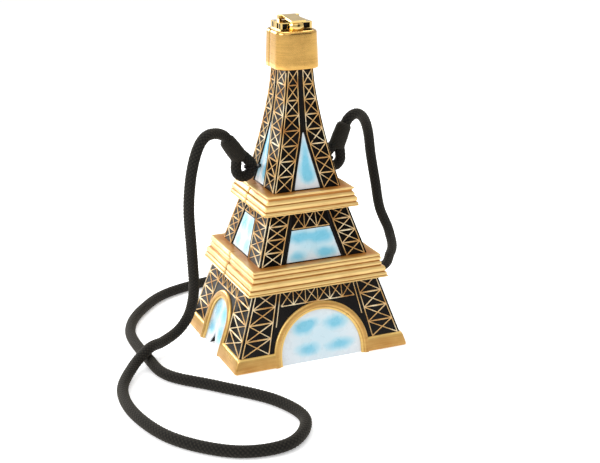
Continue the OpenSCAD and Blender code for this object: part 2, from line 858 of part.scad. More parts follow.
hinge_screws(BACK);  // back_hinge_screws
front_clasp_bar();
back_clasp_bar();
clasp_lever();
clasp_pin();
clasp_screws(FRONT);  // front_clasp_screws
clasp_screws(BACK);  // back_clasp_screws
strap_eye(LEFT);  // left_strap_eye
strap_eye(RIGHT);  // right_strap_eye
shoulder_cord();
cord_loop(LEFT);  // left_cord_loop
cord_loop(RIGHT);  // right_cord_loop
cord_whipping(LEFT);  // left_cord_whipping
cord_whipping(RIGHT);  // right_cord_whipping
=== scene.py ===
"""Looks of a hard-shell evening bag in the shape of a lattice tower.

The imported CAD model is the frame. The gilt lattice, mouldings, foot trim and cap are built as
full rings round the tower and then cut at the seam into a front and a back piece, so that each
piece rides on its own half. Lengths are in metres, and MM turns millimetres into metres.
"""

import math

import bmesh
import bpy
import numpy as np
from mathutils import Matrix, Vector, noise
from mathutils.bvhtree import BVHTree


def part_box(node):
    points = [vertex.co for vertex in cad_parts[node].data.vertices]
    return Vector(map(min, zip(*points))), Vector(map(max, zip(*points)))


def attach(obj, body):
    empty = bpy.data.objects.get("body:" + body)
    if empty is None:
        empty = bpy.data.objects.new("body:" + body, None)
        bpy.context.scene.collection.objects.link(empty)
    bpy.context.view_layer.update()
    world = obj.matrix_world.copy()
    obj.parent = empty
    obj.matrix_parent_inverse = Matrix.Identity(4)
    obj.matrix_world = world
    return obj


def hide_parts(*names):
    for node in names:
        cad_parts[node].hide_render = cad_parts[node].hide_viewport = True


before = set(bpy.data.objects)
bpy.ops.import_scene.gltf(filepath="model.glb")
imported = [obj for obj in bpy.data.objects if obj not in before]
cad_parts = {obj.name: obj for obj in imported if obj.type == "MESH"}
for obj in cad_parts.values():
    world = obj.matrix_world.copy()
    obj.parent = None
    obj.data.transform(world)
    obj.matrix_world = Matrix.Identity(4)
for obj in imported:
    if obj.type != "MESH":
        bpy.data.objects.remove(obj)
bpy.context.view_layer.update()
MM = 0.001
UP = Vector((0, 0, 1))
OUTSIDE = 0.3     # clear of the tower on every side
SAME_POINT = 2e-6  # points of a CAD mesh this close are one


# ---- The tower's form, read from the frame ---------------

SEAM = {"front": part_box("front_shell")[1].y, "back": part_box("back_shell")[0].y}
SEAM_Y = (SEAM["front"] + SEAM["back"]) / 2
SEAM_MM = SEAM_Y / MM
TOWER_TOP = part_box("front_shell")[1].z
HAND = {"left": -1, "right": 1}
HALVES = {"front": -1, "back": 1}


def cad_tree(*nodes):
    """A tree of the CAD nodes' faces, for casting rays at them."""
    points, faces = [], []
    for node in nodes:
        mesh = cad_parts[node].data
        start = len(points)
        points += [v.co.copy() for v in mesh.vertices]
        faces += [[start + i for i in p.vertices] for p in mesh.polygons]
    return BVHTree.FromPolygons(points, faces)


def half_size(tree, axis, z):
    """Half width (axis 0) or half depth (axis 1) at a height, past windows and the seam."""
    widest = 0.0
    for across in np.linspace(-60 * MM, 60 * MM, 61):
        start, direction = Vector((0, 0, z)), Vector((0, 0, 0))
        start[axis], start[1 - axis], direction[axis] = OUTSIDE, across, -1
        hit = tree.ray_cast(start, direction)[0]
        if hit is not None:
            widest = max(widest, hit[axis])
    return widest


# The shell's half width and half depth, measured every 1.5 mm up
SHELL = cad_tree("front_shell", "back_shell")
LEVELS = np.arange(0.25 * MM, TOWER_TOP, 1.5 * MM)
HALF = [[half_size(SHELL, axis, z) for z in LEVELS] for axis in (0, 1)]


def half(axis, z):
    return float(np.interp(z, LEVELS, HALF[axis]))


def half_w(z):
    return half(0, z)


def half_d(z):
    return half(1, z)


# Axis that a face looks along, and its sign; u runs along X on the front and back, Y on the sides
FACES = {"front": (1, -1), "back": (1, 1), "left": (0, -1), "right": (0, 1)}


def on_face(face, u, z, lift=0.0):
    """The point u along a face and z up, lifted level out of it."""
    axis, sign = FACES[face]
    point = Vector((0, 0, z))
    point[1 - axis] = u
    point[axis] = sign * (half(axis, z) + lift)
    return point


# ---- Building meshes -------------------------------------


class Soup:
    """Points and faces gathered from many closed forms, with a value for hollows that the gilt
    and cord materials turn into painted shade.
    """

    def __init__(self):
        self.points, self.faces, self.hollow = [], [], []

    def grid(self, rows, hollows=None, ring=False):
        """Joins rows of points, each a closed section, and closes the ends or makes a ring."""
        start, n, count = len(self.points), len(rows[0]), len(rows)
        for row in rows:
            self.points += row
            self.hollow += list(hollows) if hollows is not None else [0.0] * n
        for i in range(count if ring else count - 1):
            a, b = start + i * n, start + (i + 1) % count * n
            for k in range(n):
                self.faces.append((a + k, a + (k + 1) % n, b + (k + 1) % n, b + k))
        if not ring:
            self.faces.append(tuple(range(start + n - 1, start - 1, -1)))
            last = start + (count - 1) * n
            self.faces.append(tuple(range(last, last + n)))

    def bmesh(self):
        bm = bmesh.new()
        layer = bm.verts.layers.float.new("hollow")
        made = [bm.verts.new(p) for p in self.points]
        for v, value in zip(made, self.hollow):
            v[layer] = value
        for face in self.faces:
            bm.faces.new([made[i] for i in face])
        bmesh.ops.recalc_face_normals(bm, faces=bm.faces[:])
        return bm


def piece_from(bm, name, material, body, angle=35):
    """Makes an object of a bmesh, smooth up to an angle, that rides on a body."""
    mesh = bpy.data.meshes.new(name)
    bm.to_mesh(mesh)
    bm.free()
    mesh.polygons.foreach_set("use_smooth", [True] * len(mesh.polygons))
    mesh.set_sharp_from_angle(angle=math.radians(angle))
    mesh.materials.append(material)
    obj = bpy.data.objects.new(name, mesh)
    bpy.context.scene.collection.objects.link(obj)
    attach(obj, body)
    return obj


def cut_at_seam(bm, side):
    """Keeps the front or the back of a bmesh, and closes the cut."""
    plane = Vector((0, SEAM[side], 0))
    away = Vector((0, 1 if side == "front" else -1, 0))
    everything = bm.verts[:] + bm.edges[:] + bm.faces[:]
    made = bmesh.ops.bisect_plane(
        bm, geom=everything, plane_co=plane, plane_no=away, clear_outer=True, dist=1e-7
    )
    cut = [e for e in made["geom_cut"] if isinstance(e, bmesh.types.BMEdge)]
    rim = [e for e in cut if e.is_boundary]
    bmesh.ops.holes_fill(bm, edges=rim, sides=0)
    return bm


def split_halves(soup, name, material, stands_for=None, angle=35):
    """A ring round the tower as a front and a back piece."""
    for side in SEAM:
        bm = cut_at_seam(soup.bmesh(), side)
        obj = piece_from(bm, f"{side}_{name}", material, f"{side}_half", angle)
        if stands_for:
            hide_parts(f"{side}_{stands_for}")


# ---- Materials -------------------------------------------


class Nodes:
    """A material with a Principled shader, and short calls for the nodes behind it."""

    def __init__(self, name, **values):
        self.material = bpy.data.materials.new(name)
        self.material.use_nodes = True
        self.tree = self.material.node_tree
        self.shader = self.tree.nodes["Principled BSDF"]
        for socket, value in values.items():
            self.shader.inputs[socket.replace("_", " ")].default_value = value

    def add(self, kind, **settings):
        node = self.tree.nodes.new(kind)
        for key, value in settings.items():
            setattr(node, key, value)
        return node

    def link(self, source, target):
        self.tree.links.new(source, target)

    def place(self):
        return self.add("ShaderNodeTexCoord").outputs["Object"]

    def noise(self, scale, detail=3.0, roughness=0.5, vector=None):
        node = self.add("ShaderNodeTexNoise")
        node.inputs["Scale"].default_value = scale
        node.inputs["Detail"].default_value = detail
        node.inputs["Roughness"].default_value = roughness
        self.link(vector or self.place(), node.inputs["Vector"])
        return node.outputs["Fac"]

    def stretch(self, scale):
        node = self.add("ShaderNodeMapping")
        node.inputs["Scale"].default_value = scale
        self.link(self.place(), node.inputs["Vector"])
        return node.outputs["Vector"]

    def ramp(self, value, *stops):
        """Colours at places from 0 to 1."""
        node = self.add("ShaderNodeValToRGB")
        band = node.color_ramp
        while len(band.elements) < len(stops):
            band.elements.new(0.5)
        for element, (at, colour) in zip(band.elements, stops):
            element.position = at
            element.color = (*colour, 1)
        self.link(value, node.inputs["Fac"])
        return node.outputs["Color"]

    def span(self, value, low, high, to_low=0.0, to_high=1.0):
        """Maps low to high onto another range, held at its ends."""
        node = self.add("ShaderNodeMapRange", interpolation_type="SMOOTHSTEP")
        for socket, number in zip(("From Min", "From Max", "To Min", "To Max"),
                                  (low, high, to_low, to_high)):
            node.inputs[socket].default_value = number
        self.link(value, node.inputs["Value"])
        return node.outputs["Result"]

    def calc(self, operation, a, b):
        node = self.add("ShaderNodeMath", operation=operation, use_clamp=False)
        for socket, value in zip(node.inputs, (a, b)):
            if isinstance(value, (int, float)):
                socket.default_value = value
            else:
                self.link(value, socket)
        return node.outputs["Value"]

    def swing(self, value, reach):
        """A value from 0 to 1 as one about zero, reach wide."""
        return self.calc("MULTIPLY", self.calc("SUBTRACT", value, 0.5), reach)

    def hollow(self):
        """The value for hollows that a Soup keeps at its points, used to paint shade into the
        colour.
        """
        return self.add("ShaderNodeAttribute", attribute_name="hollow").outputs["Fac"]

    def mix(self, share, a, b):
        node = self.add("ShaderNodeMix", data_type="RGBA")
        for socket, value in (("Factor", share), ("A", a), ("B", b)):
            target = next(s for s in node.inputs if s.name == socket and s.type != "VECTOR"
                          and (socket == "Factor" or s.type == "RGBA"))
            if isinstance(value, tuple):
                target.default_value = (*value, 1)
            elif isinstance(value, float):
                target.default_value = value
            else:
                self.link(value, target)
        return next(s for s in node.outputs if s.type == "RGBA")

    def colour(self, output):
        self.link(output, self.shader.inputs["Base Color"])

    def rough(self, output):
        self.link(output, self.shader.inputs["Roughness"])

    def bump(self, height, strength, distance):
        node = self.add("ShaderNodeBump")
        node.inputs["Strength"].default_value = strength
        node.inputs["Distance"].default_value = distance
        self.link(height, node.inputs["Height"])
        self.link(node.outputs["Normal"], self.shader.inputs["Normal"])


def rgb(code):
    """A colour written as #RRGGBB, in linear light."""
    parts = [int(code[i : i + 2], 16) / 255 for i in (1, 3, 5)]
    return tuple(c / 12.92 if c <= 0.04045 else ((c + 0.055) / 1.055) ** 2.4 for c in parts)


def black_enamel():
    """Gloss black with a little dust in it."""
    m = Nodes("black_enamel", Roughness=0.2, Specular_IOR_Level=0.13)
    dust = m.noise(140, 4)
    m.colour(m.ramp(dust, (0.35, rgb("#080706")), (0.75, rgb("#14100E"))))
    m.rough(m.span(m.noise(60, 3), 0.3, 0.75, 0.16, 0.32))
    m.bump(m.noise(220, 3), 0.25, 0.12 * MM)
    return m.material


def gilt(name, deep, light, metallic, roughness, grain=0.25):
    """Gold paint that is darker where the surface is hollow, partly a glaze in the grooves and
    partly painted shade, with brush marks and worn spots.
    """
    m = Nodes(name, Metallic=metallic)
    cloudy = m.noise(45, 4, 0.6)
    brushed = m.noise(1.0, 3, 0.6, m.stretch((60, 60, 900)))
    # painted shade: the hollow value pulls the colour towards the deep colour, partly standing
    # for glaze in the grooves
    share = m.calc("ADD", m.hollow(), m.swing(cloudy, 0.6))
    share = m.calc("ADD", share, m.swing(brushed, 0.45))
    middle = tuple(0.55 * a + 0.45 * b for a, b in zip(light, deep))
    m.colour(m.ramp(share, (0.0, light), (0.3, middle), (0.75, deep)))
    m.rough(m.span(cloudy, 0.3, 0.7, roughness - 0.06, roughness + 0.08))
    m.bump(m.calc("ADD", m.calc("MULTIPLY", brushed, 0.5), m.noise(380, 4)), grain, 0.1 * MM)
    return m.material


def lattice_gold():
    """Gold wiped over raised lines, with the black below showing in places."""
    m = Nodes("lattice_gold", Roughness=0.32)
    worn = m.span(m.noise(170, 4, 0.65), 0.64, 0.72)
    gold = m.ramp(m.noise(75, 3), (0.3, rgb("#BC8546")), (0.5, rgb("#E2B878")),
                  (0.68, rgb("#FFF0CC")))
    m.colour(m.mix(worn, gold, rgb("#2A1B10")))
    m.link(m.span(worn, 0.0, 1.0, 0.3, 0.0), m.shader.inputs["Metallic"])
    m.bump(m.noise(500, 3), 0.3, 0.08 * MM)
    return m.material


CLOUD_WOBBLE = 5  # millimetres that noise moves a cloud's outline to and fro


def pane_enamel(name, axis, clouds):
    """White enamel with soft cyan clouds.

    A cloud is its place along the axis and up, its half width and half height, all in
    millimetres, and its strength.
    """
    m = Nodes(name, Roughness=0.28, Coat_Weight=0.3, Coat_Roughness=0.12)
    wobble = m.add("ShaderNodeTexNoise")
    wobble.inputs["Scale"].default_value = 90
    m.link(m.place(), wobble.inputs["Vector"])
    shift = m.add("ShaderNodeVectorMath", operation="MULTIPLY_ADD")
    m.link(wobble.outputs["Color"], shift.inputs[0])
    shift.inputs[1].default_value = (CLOUD_WOBBLE * MM,) * 3
    m.link(m.place(), shift.inputs[2])
    total = None
    for u, z, wide, high, strength in clouds:
        cloud = m.add("ShaderNodeMapping")
        scale = [1e-3, 1e-3, 1 / (high * MM)]
        scale[axis] = 1 / (wide * MM)
        middle = [0.0, 0.0, -(z + CLOUD_WOBBLE / 2) / high]
        middle[axis] = -(u + CLOUD_WOBBLE / 2) / wide
        cloud.inputs["Location"].default_value = middle
        cloud.inputs["Scale"].default_value = scale
        m.link(shift.outputs["Vector"], cloud.inputs["Vector"])
        ball = m.add("ShaderNodeTexGradient", gradient_type="SPHERICAL")
        m.link(cloud.outputs["Vector"], ball.inputs["Vector"])
        part = m.span(ball.outputs["Fac"], 0.0, 0.9, 0.0, strength)
        total = part if total is None else m.calc("ADD", total, part)
    m.colour(m.ramp(total, (0.0, rgb("#DEE6EC")), (0.35, rgb("#BADDEA")), (1.0, rgb("#7CC6DF"))))
    m.rough(m.span(m.noise(150, 3), 0.3, 0.7, 0.22, 0.36))
    m.bump(m.noise(120, 2), 0.15, 0.1 * MM)
    return m.material


def metal(name, colour, roughness, scratches=0.1):
    """Plated metal with fine scratches."""
    m = Nodes(name, Metallic=1.0)
    fine = m.noise(1.0, 4, 0.6, m.stretch((900, 120, 120)))
    m.colour(m.ramp(m.noise(120, 2), (0.35, tuple(0.86 * c for c in colour)), (0.7, colour)))
    m.rough(m.span(fine, 0.35, 0.7, roughness * 0.75, roughness * 1.4))
    m.bump(fine, scratches, 0.03 * MM)
    return m.material


def braid_cloth():
    """Black cotton, with painted shade in the hollows between the strands and a painted highlight
    on their crests.
    """
    m = Nodes("braided_cotton", Roughness=0.85, Sheen_Weight=0.35, Sheen_Roughness=0.45,
              Sheen_Tint=(*rgb("#8C8474"), 1), Specular_IOR_Level=0.25)
    fibres = m.noise(900, 4, 0.7)
    share = m.calc("ADD", m.hollow(), m.swing(fibres, 0.5))
    # painted highlight on the strands' crests, painted shade in the hollows between them
    m.colour(m.ramp(share, (0.05, rgb("#2A2720")), (0.35, rgb("#13110E")), (0.8, rgb("#030302"))))
    m.bump(fibres, 0.6, 0.25 * MM)
    return m.material


def lining_cloth():
    """Dark brown velvet with a fine weave."""
    m = Nodes("lining_velvet", Roughness=0.9, Sheen_Weight=0.8, Sheen_Roughness=0.35,
              Sheen_Tint=(*rgb("#B08C6A"), 1))
    weave = m.add("ShaderNodeTexWave", wave_type="BANDS", bands_direction="DIAGONAL")
    weave.inputs["Scale"].default_value = 420
    m.link(m.place(), weave.inputs["Vector"])
    m.colour(m.ramp(m.noise(260, 4), (0.3, rgb("#241A15")), (0.7, rgb("#3B2C24"))))
    m.bump(m.calc("ADD", weave.outputs["Fac"], m.noise(800, 3)), 0.35, 0.12 * MM)
    return m.material


BLACK = black_enamel()
BAND_GOLD = gilt("band_gilt", rgb("#B0722B"), rgb("#ECCB84"), 0.4, 0.34)
TRIM_GOLD = gilt("trim_gilt", rgb("#A2661F"), rgb("#EBC574"), 0.45, 0.33)
CAP_GOLD = gilt("cap_gilt", rgb("#8F5A22"), rgb("#E0B264"), 1.0, 0.2, 0.1)
LATTICE = lattice_gold()
POLISHED = metal("polished_gold_plate", rgb("#F3D184"), 0.1)
BRASS = metal("brass", rgb("#D2A660"), 0.26)
CORD_CLOTH = braid_cloth()
LINING = lining_cloth()


def paint(material, *nodes):
    """Gives CAD nodes a material."""
    for node in nodes:
        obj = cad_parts[node]
        obj.data.materials.clear()
        obj.data.materials.append(material)


# ---- Camera, floor and light -----------------------------

LOOK_AT = Vector((5.2, 0, 81.3)) * MM
AZIMUTH, ELEVATION, ROLL = -22.667, 18.73, -0.475
DISTANCE = 920.8 * MM
LENS = 73.8

ROOM_LIGHT = 0.66
DARK_SIDE = (24, 6)     # azimuth and elevation of the dark patch's middle
DARK_REACH = (0.18, 0.5)  # where the patch starts to lighten and where it ends, on a unit ball
DARK_LIGHT = 0.03

# Name, azimuth, elevation, distance, side and power in watts
LIGHTS = [
    ("key", -80, 30, 1.1, 0.6, 7),
    ("left_back_soft", -157, 17, 1.2, 0.5, 8),
    ("top_soft", 150, 62, 1.4, 1.0, 9),
    ("front_soft", -12, 50, 1.3, 1.0, 2),
]


def aim(azimuth, elevation):
    """Unit vector from the middle of things towards a viewer."""
    a, e = math.radians(azimuth), math.radians(elevation)
    return Vector((math.sin(a) * math.cos(e), -math.cos(a) * math.cos(e), math.sin(e)))


def make_camera():
    data = bpy.data.cameras.new("camera")
    data.lens, data.sensor_width = LENS, 36
    data.clip_start, data.clip_end = 0.01, 20
    cam = bpy.data.objects.new("camera", data)
    back = aim(AZIMUTH, ELEVATION)
    turn = back.to_track_quat("Z", "Y").to_matrix() @ Matrix.Rotation(math.radians(ROLL), 3, "Z")
    cam.matrix_world = Matrix.Translation(LOOK_AT + back * DISTANCE) @ turn.to_4x4()
    bpy.context.scene.collection.objects.link(cam)
    bpy.context.scene.camera = cam


def make_floor():
    """A wide white floor that glows a little, so that hardly a shadow shows on it."""
    mesh = bpy.data.meshes.new("floor")
    size = 6.0
    corners = [(-size, -size, 0), (size, -size, 0), (size, size, 0), (-size, size, 0)]
    mesh.from_pydata(corners, [], [(0, 1, 2, 3)])
    white = Nodes("floor_white", Roughness=0.9, Specular_IOR_Level=0.1, Emission_Strength=0.34,
                  Emission_Color=(1, 1, 1, 1))
    white.colour(white.ramp(white.noise(3, 2), (0.0, (0.93,) * 3), (1.0, (0.95,) * 3)))
    mesh.materials.append(white.material)
    floor = bpy.data.objects.new("floor", mesh)
    bpy.context.scene.collection.objects.link(floor)


def make_light(name, azimuth, elevation, distance, size, power):
    data = bpy.data.lights.new(name, "AREA")
    data.size, data.energy = size, power
    lamp = bpy.data.objects.new(name, data)
    towards = aim(azimuth, elevation)
    lamp.location = Vector((0, 0, 0.12)) + towards * distance
    lamp.rotation_mode = "QUATERNION"
    lamp.rotation_quaternion = towards.to_track_quat("Z", "Y")
    bpy.context.scene.collection.objects.link(lamp)


def make_world():
    """An even white room, with a dark patch that the broad front faces mirror."""
    world = bpy.data.worlds.new("studio")
    world.use_nodes = True
    nodes, links = world.node_tree.nodes, world.node_tree.links
    place = nodes.new("ShaderNodeTexCoord")
    away = nodes.new("ShaderNodeVectorMath")
    away.operation = "DISTANCE"
    away.inputs[1].default_value = aim(*DARK_SIDE)
    shade = nodes.new("ShaderNodeMapRange")
    shade.interpolation_type = "SMOOTHSTEP"
    for socket, value in zip(("From Min", "From Max", "To Min", "To Max"),
                             (*DARK_REACH, DARK_LIGHT, ROOM_LIGHT)):
        shade.inputs[socket].default_value = value
    nodes["Background"].inputs["Color"].default_value = (1, 1, 1, 1)
    links.new(place.outputs["Generated"], away.inputs[0])
    links.new(away.outputs["Value"], shade.inputs["Value"])
    links.new(shade.outputs["Result"], nodes["Background"].inputs["Strength"])
    bpy.context.scene.world = world


make_camera()
make_floor()
make_world()
for light in LIGHTS:
    make_light(*light)
bpy.context.scene.view_settings.view_transform = "Standard"


# ---- Cord ------------------------------------------------

CORD_D = 8.2 * MM
BRAID_STRANDS = 8        # strands that wind each way
BRAID_PITCH = 2.9 * MM   # length of cord from one strand to the next
BRAID_DEPTH = 0.55 * MM
CORD_SIDES = 48
CORD_STEP = 0.7 * MM     # between the mesh's rings

# Route of the cord's middle from the left sleeve to the right one, in millimetres
CORD_ROUTE = [
    (-45, 7.5, 153), (-51.5, 5, 160), (-61, -2, 164), (-70.5, -9, 163.5), (-78, -14, 155.5),
    (-83.5, -16, 138), (-84.5, -11.5, 112.5), (-81, -3.5, 80), (-77.5, 5.5, 49), (-77.8, 12, 31),
    (-81, 16.5, 18.5), (-89.5, 13.5, 11.3), (-104, 2.5, 10), (-118, -10.5, 12.5),
    (-134.5, -25, 7), (-149.6, -53, 4.2), (-151.2, -92, 4.2), (-137.6, -134, 4.2),
    (-106.6, -165, 4.2), (-72.5, -168, 4.2), (-51.5, -142, 4.2), (-59.5, -108, 4.2),
    (-88.5, -72, 4.2), (-114, -42, 4.2), (-118.7, -9, 4.2), (-118, 42, 4.2), (-97.7, 82, 4.2),
    (-60, 113, 4.2), (10, 121, 4.6), (98, 73, 11.5), (109, 54, 32), (99.5, 38.5, 56.5),
    (88, 33, 79.5), (82, 29.5, 103), (78.5, 31, 125.5), (74, 27, 145), (67, 20.5, 157.5),
    (58, 14, 163.5), (49, 9.5, 161.5), (43.2, 7.5, 153),
]


def smooth(route, steps=24):
    """Catmull-Rom curve through points in millimetres, as points in metres."""
    points = [Vector(p) * MM for p in route]
    line = []
    for i in range(len(points) - 1):
        a, b = points[max(i - 1, 0)], points[i]
        c, d = points[i + 1], points[min(i + 2, len(points) - 1)]
        for k in range(steps):
            t = k / steps
            line.append(0.5 * (2 * b + (c - a) * t + (2 * a - 5 * b + 4 * c - d) * t * t
                               + (3 * b - a - 3 * c + d) * t ** 3))
    return line + [points[-1]]


def evenly(line, step):
    """The line again, with points step apart, and its length."""
    p = np.array([list(v) for v in line])
    along = np.concatenate([[0], np.cumsum(np.linalg.norm(np.diff(p, axis=0), axis=1))])
    at = np.linspace(0, along[-1], max(4, round(along[-1] / step) + 1))
    return np.stack([np.interp(at, along, p[:, k]) for k in range(3)], axis=1), float(along[-1])


def braid_height(turn, along):
    """Height of a two-way braid from 0 to 1, where turn is the share of a full turn."""
    u = BRAID_STRANDS * turn + along / BRAID_PITCH
    v = BRAID_STRANDS * turn - along / BRAID_PITCH
    one_way, other_way = np.sin(np.pi * (u % 1)), np.sin(np.pi * (v % 1))
    over = (np.floor(u) + np.floor(v)) % 2 == 0
    top = np.where(over, one_way, other_way) ** 0.6
    crossing = np.where(over, other_way, one_way)
    return top * (0.62 + 0.38 * crossing)


def braided_tube(name, line, diameter):
    """A braided cord along a line of points, with its path and length."""
    path, length = evenly(line, CORD_STEP)
    n = len(path)
    tangent = np.gradient(path, axis=0)
    tangent /= np.linalg.norm(tangent, axis=1)[:, None]
    across = np.zeros_like(path)
    side = np.array([0.0, 1.0, 0.0])
    for i in range(n):
        side = side - tangent[i] * (side @ tangent[i])
        side /= np.linalg.norm(side)
        across[i] = side
    up = np.cross(tangent, across)
    turn = np.arange(CORD_SIDES) / CORD_SIDES
    along = np.linspace(0, length, n)
    height = braid_height(turn[None, :], along[:, None])
    radius = diameter / 2 - BRAID_DEPTH * (1 - height)
    angle = 2 * np.pi * turn
    rings = (path[:, None, :] + radius[..., None]
             * (np.cos(angle)[None, :, None] * across[:, None, :]
                + np.sin(angle)[None, :, None] * up[:, None, :]))
    soup = Soup()
    soup.grid([[Vector(p) for p in ring] for ring in rings])
    # painted shade: the hollows between the strands, read by the cord's material
    soup.hollow = [float(1 - h) for h in height.ravel()]
    obj = piece_from(soup.bmesh(), name, CORD_CLOTH, "back_half", 80)
    return obj, path, length


cord, cord_path, cord_length = braided_tube("shoulder_cord_braid", smooth(CORD_ROUTE), CORD_D)
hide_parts("shoulder_cord")

# The loop at each end of the cord, and the bound sleeve over both runs
EYE = {hand: sum(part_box(f"{hand}_cord_loop"), Vector()) / 2 for hand in HAND}
LOOP_R = (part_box("right_cord_loop")[1].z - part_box("right_cord_loop")[0].z - CORD_D) / 2
LEAN = {"left": math.radians(35), "right": math.radians(22)}
WHIP_LENGTH, WHIP_WIDE, WHIP_THICK = 20 * MM, 12.2 * MM, 9.8 * MM
WHIP_LOW = Vector((1.5, 0, 6.5)) * MM  # its lower end, from the middle of the loop


def mirrored(vector, hand):
    return Vector((vector.x * HAND[hand], vector.y, vector.z))


def loop_line(hand):
    """A teardrop from inside the sleeve, through the strap eye and back."""
    lean = Vector((math.sin(LEAN[hand]), 0, math.cos(LEAN[hand])))
    side = Vector((math.cos(LEAN[hand]), 0, -math.sin(LEAN[hand])))
    inner = [WHIP_LOW + lean * 9 * MM - side * 1.2 * MM,
             WHIP_LOW + lean * 3 * MM - side * 2.4 * MM]
    outer = [WHIP_LOW + lean * 3 * MM + side * 2.2 * MM,
             WHIP_LOW + lean * 9 * MM + side * 1.2 * MM]
    bend = []
    for degrees in (150, 180, 215, 250, 285, 320, 355):
        a = math.radians(degrees)
        squeeze = 1.0 if math.cos(a) < 0 else 0.8
        bend.append(Vector((LOOP_R * squeeze * math.cos(a), 0, LOOP_R * math.sin(a))))
    points = [EYE[hand] + mirrored(p, hand) for p in inner + bend + outer]
    return smooth([p / MM for p in points], 12)


def whipping(hand):
    """A sleeve of thread wound round both runs of the cord."""
    lean = mirrored(Vector((math.sin(LEAN[hand]), 0, math.cos(LEAN[hand]))), hand)
    side = mirrored(Vector((math.cos(LEAN[hand]), 0, -math.sin(LEAN[hand]))), hand)
    low = EYE[hand] + mirrored(WHIP_LOW, hand)
    rows, hollows, turns, sides = [], [], 19, 40
    count = turns * 7
    for i in range(count + 1):
        t = i / count
        end = min(t, 1 - t) * WHIP_LENGTH
        shrink = 1 - 0.3 * max(0.0, 1 - end / (2.4 * MM)) ** 2
        belly = 1.02 + 0.03 * math.sin(math.pi * t) - 0.1 * t * t
        ring = []
        for k in range(sides):
            a = 2 * math.pi * k / sides
            thread = abs(math.sin(math.pi * (t * turns + k / sides)))
            uneven = noise.noise(Vector((i * 0.21, k * 0.4, 3)))
            out = 1 - 0.045 * (1 - thread ** 0.7) + 0.05 * uneven
            flat = math.copysign(min(1, abs(math.cos(a)) * 1.6), math.cos(a))
            flat *= (WHIP_WIDE - WHIP_THICK) / 2
            x = (flat + WHIP_THICK / 2 * math.cos(a)) * shrink * belly * out
            y = WHIP_THICK / 2 * math.sin(a) * shrink * belly * out
            ring.append(low + lean * (t * WHIP_LENGTH) + side * x + Vector((0, 1, 0)) * y)
            # painted shade between the turns of thread
            hollows.append(0.8 * (1 - thread ** 0.5))
        rows.append(ring)
    soup = Soup()
    soup.grid(rows)
    soup.hollow = hollows
    return piece_from(soup.bmesh(), f"{hand}_whipping_thread", CORD_CLOTH, "back_half",
                      80)


cord_ends = []
for hand in HAND:
    loop = braided_tube(f"{hand}_loop_braid", loop_line(hand), CORD_D)[0]
    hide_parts(f"{hand}_cord_loop")
    sleeve = whipping(hand)
    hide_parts(f"{hand}_cord_whipping")
    cord_ends += [loop, sleeve]


# ---- Rings round the tower: mouldings --------------------

SEAM_ROLL = 2.3 * MM   # how far a ring's end rounds off at the seam
RING_CORNER = 0.9 * MM


def side_places(reach, count):
    """Places from -reach to reach, closer together round the seam."""
    close = [SEAM_Y + d * MM for d in (-2.9, -2.2, -1.5, -0.95, -0.55, -0.25,
                                    0.25, 0.55, 0.95, 1.5, 2.2, 2.9)]
    wide = [y for y in np.linspace(-reach, reach, count) if abs(y - SEAM_Y) > 3.5 * MM]
    return sorted(close + wide)


def ring_row(z, wide, deep, corner=RING_CORNER, count=15, roll=SEAM_ROLL):
    """Points round a rectangle with round corners, which dips at the seam on both sides."""
    x, y = wide - corner, deep - corner
    row = []
    for u in np.linspace(-x, x, count):
        row.append(Vector((u, -deep, z)))
    arc = [math.radians(a) for a in (22.5, 45, 67.5)]
    row += [Vector((x + corner * math.sin(a), -y - corner * math.cos(a), z)) for a in arc]
    right = [Vector((wide, v, z)) for v in side_places(y, count)]
    row += right
    row += [Vector((x + corner * math.cos(a), y + corner * math.sin(a), z)) for a in arc]
    row += [Vector((u, deep, z)) for u in np.linspace(x, -x, count)]
    row += [Vector((-x - corner * math.sin(a), y + corner * math.cos(a), z)) for a in arc]
    row += [Vector((-wide, v, z)) for v in reversed(side_places(y, count))]
    row += [Vector((-x - corner * math.cos(a), -y - corner * math.sin(a), z)) for a in arc]
    for p in row:
        near = abs(p.y - SEAM_Y)
        if near < roll and abs(p.x) > 0.3 * wide:
            dip = roll - math.sqrt(max(0.0, roll ** 2 - (roll - near) ** 2))
            p.x -= math.copysign(0.75 * dip, p.x)
    return row


def eased(keys, count):
    """Values between keys (place, value, ...), with round crests and hollows."""
    rows = []
    for i in range(count + 1):
        f = i / count
        k = max(0, min(len(keys) - 2, sum(f >= key[0] for key in keys) - 1))
        a, b = keys[k], keys[k + 1]
        t = (f - a[0]) / (b[0] - a[0])
        t = (1 - math.cos(math.pi * t)) / 2
        rows.append([f] + [p + (q - p) * t for p, q in zip(a[1:], b[1:])])
    return rows


